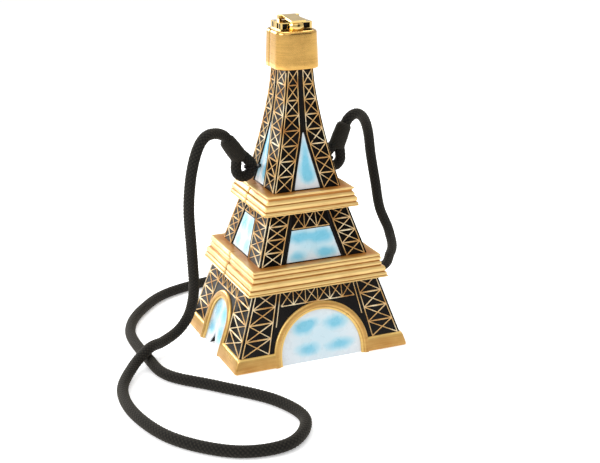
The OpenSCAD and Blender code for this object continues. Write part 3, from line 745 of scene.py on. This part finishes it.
# Profiles from the top down: share of the height, millimetres out, how hollow; the hollow value
# darkens the grooves with glaze and painted shade
LOWER_PROFILE = [
    (0.0, -0.3, 0.0), (0.03, 0.2, 0.0), (0.06, 0.2, 0.0), (0.09, -0.45, 0.8), (0.13, 0.3, 0.1),
    (0.19, 0.5, 0.0), (0.24, 0.2, 0.2), (0.285, -0.6, 1.0), (0.33, 0.4, 0.15), (0.40, 0.9, 0.0),
    (0.45, 0.7, 0.1), (0.49, 0.0, 0.9), (0.54, 2.6, 0.1), (0.62, 3.2, 0.0), (0.72, 3.3, 0.1),
    (0.77, 2.5, 0.9), (0.81, 3.9, 0.1), (0.87, 4.4, 0.0), (0.91, 4.2, 0.1), (0.935, 3.6, 0.7),
    (0.96, 5.0, 0.0), (0.985, 5.3, 0.0), (1.0, 4.8, 0.1),
]
UPPER_PROFILE = [
    (0.0, -0.3, 0.0), (0.03, 0.3, 0.0), (0.08, 0.3, 0.0), (0.12, -0.9, 0.85), (0.19, -1.1, 0.8),
    (0.27, -0.1, 0.2), (0.34, 0.8, 0.0), (0.41, 0.8, 0.0), (0.46, -0.1, 0.9), (0.51, 1.9, 0.1),
    (0.60, 2.5, 0.0), (0.70, 2.5, 0.1), (0.78, 1.7, 0.85), (0.83, 3.0, 0.1), (0.90, 3.4, 0.0),
    (0.94, 2.9, 0.5), (0.97, 3.7, 0.0), (1.0, 3.3, 0.1),
]


def moulding(node, profile, count):
    """A reeded band with a flat ledge on top."""
    low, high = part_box(f"front_{node}")[0].z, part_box(f"front_{node}")[1].z
    cad = cad_tree(f"front_{node}", f"back_{node}")
    top = [half_size(cad, axis, high - 0.12 * (high - low)) for axis in (0, 1)]
    flat = (half_d(low) - half_d(high)) / (half_w(low) - half_w(high))
    inside = 0.4 * MM
    rows, hollows = [], []

    def add(z, out, hollow, tuck=None):
        wide = top[0] + out * MM if tuck is None else half_w(z) + tuck
        deep = top[1] + flat * out * MM if tuck is None else half_d(z) + tuck
        rows.append((z, wide, deep))
        hollows.append(hollow)

    # Painted shade on the ledge, darkest where it meets the tower, and under the band where it
    # tucks in
    add(high, 0, 1.0, -inside)
    add(high, 0, 1.0, 0.6 * MM)
    ledge = top[0] - half_w(high)
    for share, hollow in ((0.25, 0.75), (0.5, 0.6), (0.75, 0.5), (0.92, 0.2)):
        add(high, 0, hollow, share * ledge)
    for f, out, hollow in eased(profile, count):
        add(high - f * (high - low), out, hollow)
    add(low + 0.1 * MM, profile[-1][1] - 0.6, 0.3)
    add(low + 0.1 * MM, 0, 1.0, -inside)
    columns = [ring_row(z, wide, deep) for z, wide, deep in rows]
    soup = Soup()
    around = len(columns[0])
    sections = [[column[i] for column in columns] for i in range(around)]
    soup.grid(sections, hollows, ring=True)
    for i, p in enumerate(soup.points):
        near = max(0.0, 1 - abs(p.y - SEAM_Y) / (0.7 * MM))
        soup.hollow[i] = min(1.0, soup.hollow[i] + 0.9 * near)  # painted shade in the seam between the halves
        wave = noise.noise(p * 60) * 0.2 + noise.noise(p * 190) * 0.08
        out = Vector((p.x, p.y, 0)).normalized()
        soup.points[i] = p + out * wave * MM
    return soup


split_halves(moulding("lower_moulding", LOWER_PROFILE, 66), "lower_band", BAND_GOLD,
             "lower_moulding", 50)
split_halves(moulding("upper_moulding", UPPER_PROFILE, 54), "upper_band", BAND_GOLD,
             "upper_moulding", 50)


# ---- Foot trim and arch frames ---------------------------

SKIRT_H = 10.5 * MM
ARCH_FRAME = 6 * MM  # width of an arch's frame
# Middle, radius and height of the springing of each face's arch
ARCH = {"front": (0.0, 31.5 * MM, 5.5 * MM), "back": (0.0, 31.5 * MM, 5.5 * MM),
        "left": (SEAM_Y, 15.5 * MM, 20 * MM), "right": (SEAM_Y, 15.5 * MM, 20 * MM)}

# Sections: for an arch's frame the millimetres out from its edge and above the face, and for the
# foot trim the height and the millimetres out of the face; then how hollow, which darkens the
# gilt with glaze and painted shade in the grooves and where the trim tucks in; the skirt's low
# values along its upper round are a painted highlight
ARCH_SECTION = [
    (-0.1, -1.0, 0.4), (-0.1, 0.3, 0.1), (0.1, 0.65, 0.0), (0.8, 0.85, 0.0), (1.5, 0.85, 0.05),
    (1.8, 0.8, 0.6), (2.0, 1.2, 0.3), (2.4, 1.6, 0.2), (3.2, 1.85, 0.4), (4.4, 1.85, 0.45),
    (5.3, 1.6, 0.3), (5.8, 1.2, 0.0), (6.0, 0.7, 0.1), (6.0, -0.3, 0.6),
]
SKIRT_SECTION = [
    (0.1, -0.5, 0.4), (0.1, 0.8, 0.3), (0.5, 1.35, 0.2), (1.2, 1.6, 0.4), (3.0, 1.7, 0.45),
    (5.5, 1.72, 0.4), (8.0, 1.68, 0.35), (9.2, 1.6, 0.2), (9.9, 1.4, 0.0), (10.3, 1.0, 0.0),
    (10.5, 0.4, 0.0), (10.5, -0.5, 0.4),
]


def arch_frame(soup, face):
    """A rounded frame along an arch, from the floor over its crown to the floor."""
    middle, radius, spring = ARCH[face]
    places = [(math.pi, spring * i / 4) for i in range(4)]
    places += [(math.pi * (1 - i / 48), spring) for i in range(49)]
    places += [(0.0, spring * i / 4) for i in (3, 2, 1, 0)]
    rows = []
    for angle, z in places:
        row = []
        for out, lift, _ in ARCH_SECTION:
            r = radius + out * MM
            high = max(z + r * math.sin(angle) if z == spring else z, 0.02 * MM)
            row.append(on_face(face, middle + r * math.cos(angle), high, lift * MM))
        rows.append(row)
    soup.grid(rows, [hollow for *_, hollow in ARCH_SECTION])


def skirt_corner(soup, x_sign, y_sign):
    """The foot trim round one corner, from the front or back arch to the side arch."""
    x_end = ARCH["front"][1] + ARCH_FRAME * 0.6
    y_end = SEAM_Y + y_sign * (ARCH["left"][1] + ARCH_FRAME * 0.6)
    corner = 1.4 * MM
    columns = []
    for z_mm, lift_mm, _ in SKIRT_SECTION:
        z = z_mm * MM
        wide, deep = half_w(z) + lift_mm * MM, half_d(z) + lift_mm * MM
        x, y = wide - corner, deep - corner
        column = [Vector((u, deep, z)) for u in np.linspace(x_end, x, 9)]
        for a in (22.5, 45, 67.5):
            a = math.radians(a)
            column.append(Vector((x + corner * math.sin(a), y + corner * math.cos(a), z)))
        stop = abs(y_end)
        column += [Vector((wide, v, z)) for v in np.linspace(y, stop, 9)]
        columns.append([Vector((p.x * x_sign, p.y * y_sign, p.z)) for p in column])
    rows = [[column[i] for column in columns] for i in range(len(columns[0]))]
    soup.grid(rows, [hollow for *_, hollow in SKIRT_SECTION])


trim = Soup()
for face in FACES:
    arch_frame(trim, face)
for x_sign in (-1, 1):
    for y_sign in (-1, 1):
        skirt_corner(trim, x_sign, y_sign)
for i, p in enumerate(trim.points):
    out = Vector((p.x, p.y, 0)).normalized()
    trim.points[i] = p + out * noise.noise(p * 80) * 0.12 * MM
split_halves(trim, "foot_trim", TRIM_GOLD, "base_trim", 40)


# ---- Gilt lattice ----------------------------------------

LINE_H, RAIL_H = 0.5 * MM, 0.45 * MM
LEG_LINE, MIDDLE_LINE, UPPER_LINE = 0.85 * MM, 0.8 * MM, 0.75 * MM  # widths
EDGE_GAP, UPPER_EDGE_GAP = 1.7 * MM, 1.2 * MM  # from the tower's edge to the outer line

# Heights between which each stage's lattice runs, clear of the trim and the mouldings
LOWER_BAND, UPPER_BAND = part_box("front_lower_moulding"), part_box("front_upper_moulding")
LEG_LOW, LEG_HIGH = SKIRT_H + 0.3 * MM, LOWER_BAND[0].z - 0.2 * MM
MIDDLE_LOW, MIDDLE_HIGH = LOWER_BAND[1].z + 0.2 * MM, UPPER_BAND[0].z - 0.2 * MM
UPPER_LOW, UPPER_HIGH = UPPER_BAND[1].z + 0.2 * MM, TOWER_TOP - 0.1 * MM


def ridge(soup, face, line, width, height=LINE_H):
    """A rounded ridge along a line of (u, z) points on a face; width may be a list."""
    section = [(-0.5, -0.25 * MM), (-0.42, 0.45 * height), (-0.2, 0.95 * height),
               (0.2, 0.95 * height), (0.42, 0.45 * height), (0.5, -0.25 * MM)]
    rows = []
    for i, (u, z) in enumerate(line):
        before, after = line[max(i - 1, 0)], line[min(i + 1, len(line) - 1)]
        du, dz = after[0] - before[0], after[1] - before[1]
        length = math.hypot(du, dz)
        su, sz = -dz / length, du / length
        across = width[i] if isinstance(width, list) else width
        rows.append([on_face(face, u + su * s * across, z + sz * s * across, lift)
                     for s, lift in section])
    soup.grid(rows)


def straight(a, b, pieces=1):
    """The line from a to b in so many pieces."""
    return [(a[0] + (b[0] - a[0]) * i / pieces, a[1] + (b[1] - a[1]) * i / pieces)
            for i in range(pieces + 1)]


def bar(soup, face, a, b, width):
    """A line from a to b that swells in the middle."""
    places = np.linspace(0.02, 0.98, 7)
    line = [(a[0] + (b[0] - a[0]) * t, a[1] + (b[1] - a[1]) * t) for t in places]
    ridge(soup, face, line, [width * (0.7 + 0.75 * math.sin(math.pi * t)) for t in places])


def leg_panel(soup, face, inner, outer, low, high, bays, width, steps=1):
    """A panel between two border lines: crosses, and a lens bar between one bay and the next."""
    levels = [low + (high - low) * i / bays for i in range(bays + 1)]
    for border in (inner, outer):
        line = [(border(z), z) for z in np.linspace(low, high, bays * steps + 1)]
        ridge(soup, face, line, width * 0.9)
    for i in range(bays):
        a, b = levels[i], levels[i + 1]
        ridge(soup, face, straight((inner(a), a), (outer(b), b), 3), width * 0.95)
        ridge(soup, face, straight((outer(a), a), (inner(b), b), 3), width * 0.95)
        if i:
            bar(soup, face, (inner(a), a), (outer(a), a), width)


def truss(soup, face, left, right, low, high, bays, width):
    """A row of crosses between uprights; left and right are functions of the height."""
    for i in range(bays + 1):
        t = i / bays
        ends = [(left(z) + (right(z) - left(z)) * t, z) for z in (low, high)]
        if 0 < i < bays:
            ridge(soup, face, straight(*ends), width * 0.8)
        if i < bays:
            s = (i + 1) / bays
            later = [(left(z) + (right(z) - left(z)) * s, z) for z in (low, high)]
            ridge(soup, face, straight(ends[0], later[1], 2), width * 0.9)
            ridge(soup, face, straight(ends[1], later[0], 2), width * 0.9)
    ridge(soup, face, straight((left(low), low), (right(low), low), 6), width)


def between(*keys):
    """A function of the height, in metres, through (z, u) keys in millimetres."""
    zs, us = [k[0] * MM for k in keys], [k[1] * MM for k in keys]
    return lambda z: float(np.interp(z, zs, us))


def shifted(function, sign, middle=0.0):
    """The function's mirror image or itself, measured from the middle."""
    return lambda z: middle + sign * function(z)


def rail(face, middle, heights, *widths):
    """A dark rail on a face; middle is a function of the height, widths are in millimetres."""
    ridge(rails, face, [(middle(z), z) for z in heights], [w * MM for w in widths], RAIL_H)


lattice, rails = Soup(), Soup()

for face in ("front", "back"):
    for sign in (-1, 1):
        edge = shifted(lambda z: half_w(z) - EDGE_GAP, sign)
        inner = shifted(between((11, 41.2), (55, 30.9)), sign)
        leg_panel(lattice, face, inner, edge, LEG_LOW, LEG_HIGH, 4, LEG_LINE)
        second = shifted(between((29, 33.9), (55, 28.2)), sign)
        ridge(lattice, face, [(second(z), z) for z in (29 * MM, LEG_HIGH)], 0.75 * MM)
        middle = shifted(between((11, 39.2), (30, 35.0), (55, 29.6)), sign)
        rail(face, middle, (LEG_LOW, 30 * MM, LEG_HIGH), 2.2, 1.9, 1.6)

        inner = shifted(between((72, 26.0), (108, 14.8)), sign)
        leg_panel(lattice, face, inner, edge, MIDDLE_LOW, MIDDLE_HIGH, 4, MIDDLE_LINE)
        middle = shifted(between((72, 23.7), (95, 16.9), (108, 13.9)), sign)
        rail(face, middle, (MIDDLE_LOW, 95 * MM, MIDDLE_HIGH), 3.0, 2.6, 1.2)

        inner = shifted(between((122, 12.9), (162, 2.7), (207, 2.0)), sign)
        outer = shifted(lambda z: half_w(z) - UPPER_EDGE_GAP, sign)
        leg_panel(lattice, face, inner, outer, UPPER_LOW, UPPER_HIGH, 8, UPPER_LINE, 3)
        middle = shifted(between((122, 11.3), (160, 1.7), (165, 0.9)), sign)
        rail(face, middle, np.linspace(UPPER_LOW, 163 * MM, 8), *[2.0] * 6, 1.6, 1.2)
    truss(lattice, face, between((42, -28.9), (55, -28.2)), between((42, 28.9), (55, 28.2)),
          43.2 * MM, LEG_HIGH, 6, MIDDLE_LINE)
    truss(lattice, face, between((95, -14.6), (108, -12.8)), between((95, 14.6), (108, 12.8)),
          95.6 * MM, MIDDLE_HIGH, 3, MIDDLE_LINE)
    rail(face, lambda z: 0.0, np.linspace(163 * MM, UPPER_HIGH, 6), *[2.6] * 6)

for face in ("left", "right"):
    for sign in (-1, 1):
        edge = shifted(lambda z: half_d(z) - EDGE_GAP, sign)
        inner = shifted(between((11, 24.2), (40, 21.4), (55, 18.0)), sign, SEAM_Y)
        leg_panel(lattice, face, inner, edge, LEG_LOW, LEG_HIGH, 4, LEG_LINE)

        inner = shifted(between((72, 18.8), (108, 10.6)), sign, SEAM_Y)
        leg_panel(lattice, face, inner, edge, MIDDLE_LOW, MIDDLE_HIGH, 4, MIDDLE_LINE)
        middle = shifted(between((72, 17.4), (99, 11.2), (108, 9.4)), sign, SEAM_Y)
        rail(face, middle, (MIDDLE_LOW, 99 * MM, MIDDLE_HIGH), 1.6, 1.4, 1.0)

        inner = shifted(between((122, 11.6), (167, 2.6), (207, 2.0)), sign, SEAM_Y)
        outer = shifted(lambda z: half_d(z) - UPPER_EDGE_GAP, sign)
        leg_panel(lattice, face, inner, outer, UPPER_LOW, UPPER_HIGH, 8, UPPER_LINE, 3)
        middle = shifted(between((122, 10.2), (167, 1.5)), sign, SEAM_Y)
        rail(face, middle, np.linspace(UPPER_LOW, 167 * MM, 8), *[1.7] * 6, 1.4, 1.2)
        middle = shifted(lambda z: 1.1 * MM, sign, SEAM_Y)
        rail(face, middle, np.linspace(168 * MM, UPPER_HIGH, 6), *[1.5] * 6)
    for low, high, start, lean, bays, width in (
        (42, 55, 20.6, 18.0, 4, MIDDLE_LINE), (99, 108, 9.6, 8.2, 2, UPPER_LINE),
    ):
        ends = [between((low, SEAM_MM + sign * start), (high, SEAM_MM + sign * lean))
                for sign in (-1, 1)]
        bottom, top = (43 * MM, LEG_HIGH) if low == 42 else (99.8 * MM, MIDDLE_HIGH)
        truss(lattice, face, *ends, bottom, top, bays, width)

split_halves(lattice, "lattice", LATTICE, None, 30)
split_halves(rails, "rails", BLACK, None, 50)


# ---- Cap -------------------------------------------------

CAP_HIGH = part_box("front_cap")[1].z
CAP_W, CAP_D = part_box("front_cap")[1].x, -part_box("front_cap")[0].y
CAP_CORNER = 7.5 * MM
CAP_CROWN = 1.7 * MM   # how far the broad faces bulge
CAP_ROLL = 1.1 * MM    # half width of the seam's groove
CAP_FOOT, CAP_EDGE = 1.1, 2.2  # heights of the rounds at its foot and its top, in millimetres
CAP_LEAN = 1.0         # millimetres that its faces lean in


def cap_row(z, shrink):
    """A rounded rectangle with slightly crowned faces, and a groove at the seam."""
    corner = CAP_CORNER - 0.5 * shrink
    x, y = CAP_W - shrink - corner, CAP_D - CAP_CROWN - shrink - corner
    quarter = [(x * i / 6, y + corner) for i in range(6)]
    quarter += [(x + corner * math.sin(a), y + corner * math.cos(a))
                for a in (math.radians(7.5 * k) for k in range(13))]
    close = [SEAM_Y + d for d in (-CAP_ROLL, -0.6 * MM, -0.2 * MM, 0.2 * MM, 0.6 * MM, CAP_ROLL)]
    east = sorted({*[round(v, 7) for v in np.linspace(-y, y, 7)], *close})
    row = [Vector((u, v, z)) for u, v in quarter]
    row += [Vector((x + corner, v, z)) for v in east[-2:0:-1]]
    row += [Vector((u, -v, z)) for u, v in reversed(quarter)]
    row += [Vector((-u, -v, z)) for u, v in quarter[1:]]
    row += [Vector((-x - corner, v, z)) for v in east[1:-1]]
    row += [Vector((-u, v, z)) for u, v in reversed(quarter[1:])]
    for p in row:
        p.y += math.copysign(CAP_CROWN * max(0.0, 1 - (p.x / (x + corner)) ** 2), p.y)
        near = abs(p.y - SEAM_Y)
        if near < CAP_ROLL:
            p.x -= math.copysign(0.7 * (1 - near / CAP_ROLL) ** 2 * CAP_ROLL, p.x)
    return row


def cap():
    """The cap over the tower's top; its profile is heights and steps inwards in millimetres."""
    low = TOWER_TOP + 0.05 * MM
    high = (CAP_HIGH - low) / MM
    plain = high - CAP_EDGE - CAP_FOOT
    profile = [(0.0, 4.0), (0.0, 1.2), (0.08, 0.7), (0.25, 0.35), (0.6, 0.1), (CAP_FOOT, 0.0)]
    profile += [(CAP_FOOT + plain * i / 9, CAP_LEAN * i / 9) for i in range(1, 10)]
    for degrees in (10, 22, 34, 46, 58, 70, 80, 90):
        a = math.radians(degrees)
        profile.append((high - CAP_EDGE + CAP_EDGE * math.sin(a),
                        CAP_LEAN + CAP_EDGE * (1 - math.cos(a))))
    profile += [(high, 6.0)]
    soup = Soup()
    soup.grid([cap_row(low + z * MM, shrink * MM) for z, shrink in profile])
    for i, p in enumerate(soup.points):
        # painted shade in the groove at the seam
        soup.hollow[i] = 0.1 + 0.8 * max(0.0, 1 - abs(p.y - SEAM_Y) / (0.5 * MM))
    return soup


split_halves(cap(), "cap_cover", CAP_GOLD, "cap", 40)


# ---- Lining ----------------------------------------------

QUILT = 22 * MM          # size of the lining's diamonds
QUILT_DEPTH = 0.5 * MM   # how far its seams are drawn in
LINING_RIM = 1.5 * MM    # stays flat beside the seam of the bag
LINING_STEPS = {2: 2.6 * MM, 0: 2.8 * MM, 1: 3.4 * MM}  # size of the mesh along each axis


def quilted_lining(side):
    """The lining of one half: soft cloth, drawn in along diagonal seams."""
    bm = bmesh.new()
    bm.from_mesh(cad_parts[f"{side}_lining"].data)
    bmesh.ops.remove_doubles(bm, verts=bm.verts[:], dist=SAME_POINT)
    low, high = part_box(f"{side}_lining")
    for axis, step in LINING_STEPS.items():
        normal = Vector((0, 0, 0))
        normal[axis] = 1
        for at in np.arange(low[axis] + step, high[axis] - 0.3 * step, step):
            bmesh.ops.bisect_plane(bm, geom=bm.verts[:] + bm.edges[:] + bm.faces[:],
                                   plane_co=normal * at, plane_no=normal, dist=1e-6)
    bm.normal_update()
    layer = bm.verts.layers.float.new("hollow")
    moved = []
    for v in bm.verts:
        inward = Vector((-v.co.x, SEAM_Y - v.co.y, 0)).normalized()
        if v.normal.dot(inward) < 0.5 or abs(v.co.y - SEAM[side]) < LINING_RIM:
            continue
        u = v.co.x if abs(v.normal.y) > abs(v.normal.x) else v.co.y
        one_way = math.sin(math.pi * (u + v.co.z) / QUILT)
        other_way = math.sin(math.pi * (u - v.co.z) / QUILT)
        drawn_in = (1 - abs(one_way * other_way)) ** 7
        wrinkle = 0.5 + 0.5 * noise.noise(v.co * 110)
        v[layer] = drawn_in
        moved.append((v, v.normal * -QUILT_DEPTH * (0.75 * drawn_in + 0.25 * wrinkle)))
    for v, step in moved:
        v.co += step
    obj = piece_from(bm, f"{side}_quilted_lining", LINING, f"{side}_half", 60)
    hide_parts(f"{side}_lining")


for side in HALVES:
    quilted_lining(side)


# ---- Painted shade plates in the clasp -------------------

# Dark plates of painted shade, in the clasp's recess beside the nose and in the slots at its ends
SHADE_PLATE, SHADE_PLATE_X = (5.6 * MM, 3.8 * MM), 8.4 * MM  # beside the nose, and its place
SLOT, SLOT_Y = (2.2 * MM, 4.2 * MM), {"front": -7.5 * MM, "back": 5.6 * MM}  # on the ends
# Share of the outline and millimetres above the face
DOME = [(1.0, -0.15), (1.0, 0.03), (0.93, 0.07), (0.75, 0.1), (0.5, 0.12), (0.2, 0.13)]


def shade_plate(name, body, middle, u_axis, size, out):
    """A slightly domed plate of black enamel with round corners, on an upright face of the clasp,
    that paints the shade of its recess.
    """
    half_u, half_v, corner = size[0] / 2, size[1] / 2, min(size) * 0.22
    rim = []
    for su, sv, start in ((1, 1, 0), (-1, 1, 90), (-1, -1, 180), (1, -1, 270)):
        for k in range(5):
            a = math.radians(start + 22.5 * k)
            rim.append((su * (half_u - corner) + corner * math.cos(a),
                        sv * (half_v - corner) + corner * math.sin(a)))
    soup = Soup()
    soup.grid([[middle + u_axis * (u * scale) + UP * (v * scale) + out * (lift * MM)
                for u, v in rim] for scale, lift in DOME])
    return piece_from(soup.bmesh(), name, BLACK, body, 50)


def face_of_bar(side, start, direction):
    """Where a ray from outside meets one half's clasp bar."""
    return cad_tree(f"{side}_clasp_bar").ray_cast(start, direction)[0]


BAR_MIDDLE = sum(corner.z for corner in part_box("front_clasp_bar")) / 2
# a plate of painted shade in the recess beside the nose, and one in each slot at the ends
for hand, sign in HAND.items():
    start, inward = Vector((sign * SHADE_PLATE_X, -OUTSIDE, BAR_MIDDLE)), Vector((0, 1, 0))
    shade_plate(f"front_clasp_{hand}_inlay", "front_half", face_of_bar("front", start, inward),
          Vector((1, 0, 0)), SHADE_PLATE, -inward)
    for side, y in SLOT_Y.items():
        start, inward = Vector((sign * OUTSIDE, y, BAR_MIDDLE)), Vector((-sign, 0, 0))
        shade_plate(f"{side}_clasp_{hand}_slot_shade", f"{side}_half", face_of_bar(side, start, inward),
              Vector((0, 1, 0)), SLOT, -inward)


# ---- CAD nodes that stay ---------------------------------

# Clouds of the broad panes, and of the side panes, where u is measured from the seam
CLOUDS = {
    "arch": [(-13.5, 25, 11, 8, 1.0), (-8, 27, 10, 6, 0.7), (12.5, 26, 13, 7.5, 0.95),
             (-11, 8.5, 13, 6.5, 0.85), (15.2, 9, 15, 6.5, 0.9), (0, 17, 34, 26, 0.22)],
    "middle": [(-9.5, 90, 15, 7, 0.95), (8.5, 89, 15, 8, 1.0), (10, 76.5, 12, 6, 1.0),
               (-12.5, 76, 10, 5, 0.9), (0, 84, 26, 14, 0.35)],
    "upper": [(0.3, 148, 5, 14, 0.85), (0.5, 136, 9, 12, 1.0), (2, 130, 8, 6, 0.6)],
}
SIDE_CLOUDS = {
    "arch": [(7, 27, 9, 12, 1.0), (9, 11, 8, 9, 1.0)],
    "middle": [(6, 92, 8, 10, 0.9), (9, 78, 8, 8, 0.8)],
    "upper": [(3, 150, 4, 18, 1.1), (5, 132, 5, 9, 1.0)],
}


def glaze(node, axis, middle, sign, clouds):
    """Enamels a pane, with its clouds measured from the middle and mirrored by the sign."""
    placed = [(middle + sign * u, *rest) for u, *rest in clouds]
    paint(pane_enamel(f"enamel_{node}", axis, placed), f"{node}_window")


for level, clouds in CLOUDS.items():
    for side, sign in HALVES.items():
        glaze(f"{side}_{level}", 0, 0, -sign, clouds)
for side, sign in HALVES.items():
    for hand in HAND:
        for level, clouds in SIDE_CLOUDS.items():
            glaze(f"{side}_{hand}_{level}", 1, SEAM_MM, sign, clouds)

paint(BLACK, "front_shell", "back_shell", "left_strap_eye", "right_strap_eye")
paint(POLISHED, "front_clasp_bar", "back_clasp_bar", "clasp_lever")
paint(BRASS, "clasp_pin", "front_clasp_screws", "back_clasp_screws", "front_hinge_screws",
      "back_hinge_screws", *[f"{hand}_hinge_{part}" for hand in HAND
                             for part in ("front_leaf", "back_leaf", "pin")])


def soften(node, width, segments):
    """Rounds a CAD node's sharp edges with modifiers, and leaves its mesh alone."""
    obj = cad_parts[node]
    weld = obj.modifiers.new("weld", "WELD")
    weld.merge_threshold = SAME_POINT
    bevel = obj.modifiers.new("bevel", "BEVEL")
    bevel.width, bevel.segments = width, segments
    bevel.limit_method, bevel.angle_limit = "ANGLE", math.radians(40)
    bevel.harden_normals = True


for node in ("front_clasp_bar", "back_clasp_bar", "clasp_lever"):
    soften(node, 0.25 * MM, 3)
for hand in HAND:
    for part in ("front_leaf", "back_leaf"):
        soften(f"{hand}_hinge_{part}", 0.12 * MM, 2)
